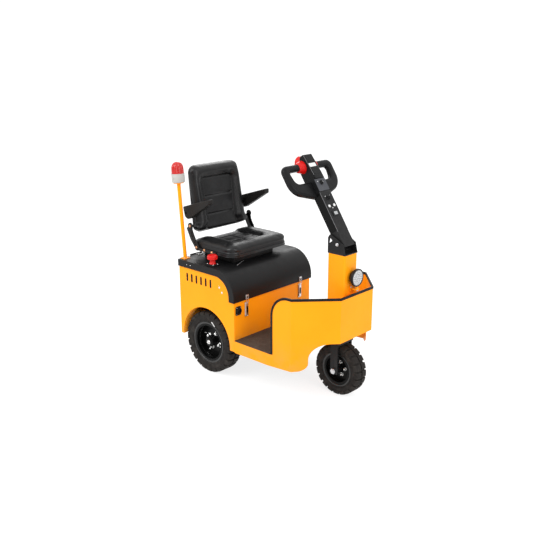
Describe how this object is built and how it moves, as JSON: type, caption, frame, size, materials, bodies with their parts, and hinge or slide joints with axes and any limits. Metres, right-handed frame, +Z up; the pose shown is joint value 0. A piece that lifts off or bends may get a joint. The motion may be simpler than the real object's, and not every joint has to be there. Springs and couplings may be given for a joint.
{
  "type": "seated three-wheel airport baggage tug",
  "caption": "Seated electric baggage tug: steered front wheel under a tiller column and bent cowl, open step, rear battery box with hinged hood and seat, tow hitch.",
  "frame": {"origin": "on the floor, under the middle of the overall box", "axes": "+X forward, +Y to the driver's left, +Z up"},
  "size_m": [1.268, 0.688, 1.3393],
  "materials": {
    "yellow_paint": "satin amber paint on sheet steel",
    "black_paint": "satin black paint",
    "hood_paint": "fine-textured black paint",
    "bright_steel": "bright zinc plate",
    "mat_rubber": "ribbed rubber mat",
    "edge_rubber": "soft rubber edging",
    "tyre_rubber": "block-tread tyre rubber",
    "dark_plastic": "moulded black plastic",
    "arm_plastic": "soft moulded black foam",
    "head_plastic": "moulded charcoal plastic",
    "red_plastic": "glossy red plastic",
    "grey_plastic": "light grey plastic",
    "red_lens": "ribbed red lens",
    "lamp_glass": "clear lamp lens",
    "seat_leather": "black grained leatherette"
  },
  "bodies": {
    "chassis": {"chassis_frame": "black_paint", "floor_plate": "black_paint", "floor_mat": "mat_rubber", "side_panel_right": "yellow_paint", "side_panel_left": "yellow_paint", "bulkhead": "yellow_paint", "rear_panel": "yellow_paint", "front_cowl": "yellow_paint", "cowl_trim": "edge_rubber", "front_deck": "yellow_paint", "steering_column": "yellow_paint", "drive_axle": "black_paint", "battery_pack": "dark_plastic", "tow_hitch": "black_paint", "charge_socket": "dark_plastic", "latch_levers": "bright_steel", "headlight_bracket": "yellow_paint", "headlight_housing": "dark_plastic", "headlight_lens": "lamp_glass", "hinge_fixed": "bright_steel"},
    "hood": {"hood_shell": "hood_paint", "hinge_moving": "bright_steel", "latch_keepers": "bright_steel", "estop_base": "dark_plastic", "estop_button": "red_plastic", "beacon_pole": "yellow_paint", "beacon_base": "grey_plastic", "beacon_dome": "red_lens", "seat_riser": "black_paint", "seat_pan": "dark_plastic", "seat_cushion": "seat_leather", "seat_back_shell": "dark_plastic", "seat_back_cushion": "seat_leather", "seat_links": "black_paint"},
    "armrest_right": {"armrest_right": "arm_plastic"},
    "armrest_left": {"armrest_left": "arm_plastic"},
    "steering": {"fork": "black_paint", "front_axle": "bright_steel", "tiller_yoke": "black_paint"},
    "tiller": {"tiller_arm": "black_paint", "tiller_head": "head_plastic", "tiller_handle": "head_plastic", "tiller_switches": "red_plastic", "tiller_controls": "dark_plastic"},
    "front_wheel": {"front_tyre": "tyre_rubber", "front_rim": "black_paint"},
    "rear_wheel_right": {"rear_tyre_right": "tyre_rubber", "rear_rim_right": "black_paint"},
    "rear_wheel_left": {"rear_tyre_left": "tyre_rubber", "rear_rim_left": "black_paint"}
  },
  "joints": [
    {"name": "steering_turn", "type": "hinge", "parent": "chassis", "child": "steering", "pos_m": [0.483, 0, 0.4], "axis": [0, 0, 1], "range_deg": [-70, 70]},
    {"name": "tiller_tilt", "type": "hinge", "parent": "steering", "child": "tiller", "pos_m": [0.483, 0, 0.888], "axis": [0, -1, 0], "range_deg": [-30, 40]},
    {"name": "front_wheel_spin", "type": "hinge", "parent": "steering", "child": "front_wheel", "pos_m": [0.483, 0, 0.151], "axis": [0, 1, 0], "continuous": true},
    {"name": "rear_wheel_right_spin", "type": "hinge", "parent": "chassis", "child": "rear_wheel_right", "pos_m": [-0.282, -0.273, 0.19], "axis": [0, 1, 0], "continuous": true},
    {"name": "rear_wheel_left_spin", "type": "hinge", "parent": "chassis", "child": "rear_wheel_left", "pos_m": [-0.282, 0.273, 0.19], "axis": [0, 1, 0], "continuous": true},
    {"name": "hood_lift", "type": "hinge", "parent": "chassis", "child": "hood", "pos_m": [-0.5165, 0, 0.677], "axis": [0, -1, 0], "range_deg": [0, 70]},
    {"name": "armrest_right_flip", "type": "hinge", "parent": "hood", "child": "armrest_right", "pos_m": [-0.51885, -0.2385, 0.94471], "axis": [0, -1, 0], "range_deg": [0, 80]},
    {"name": "armrest_left_flip", "type": "hinge", "parent": "hood", "child": "armrest_left", "pos_m": [-0.51885, 0.2385, 0.94471], "axis": [0, -1, 0], "range_deg": [0, 80]}
  ]
}
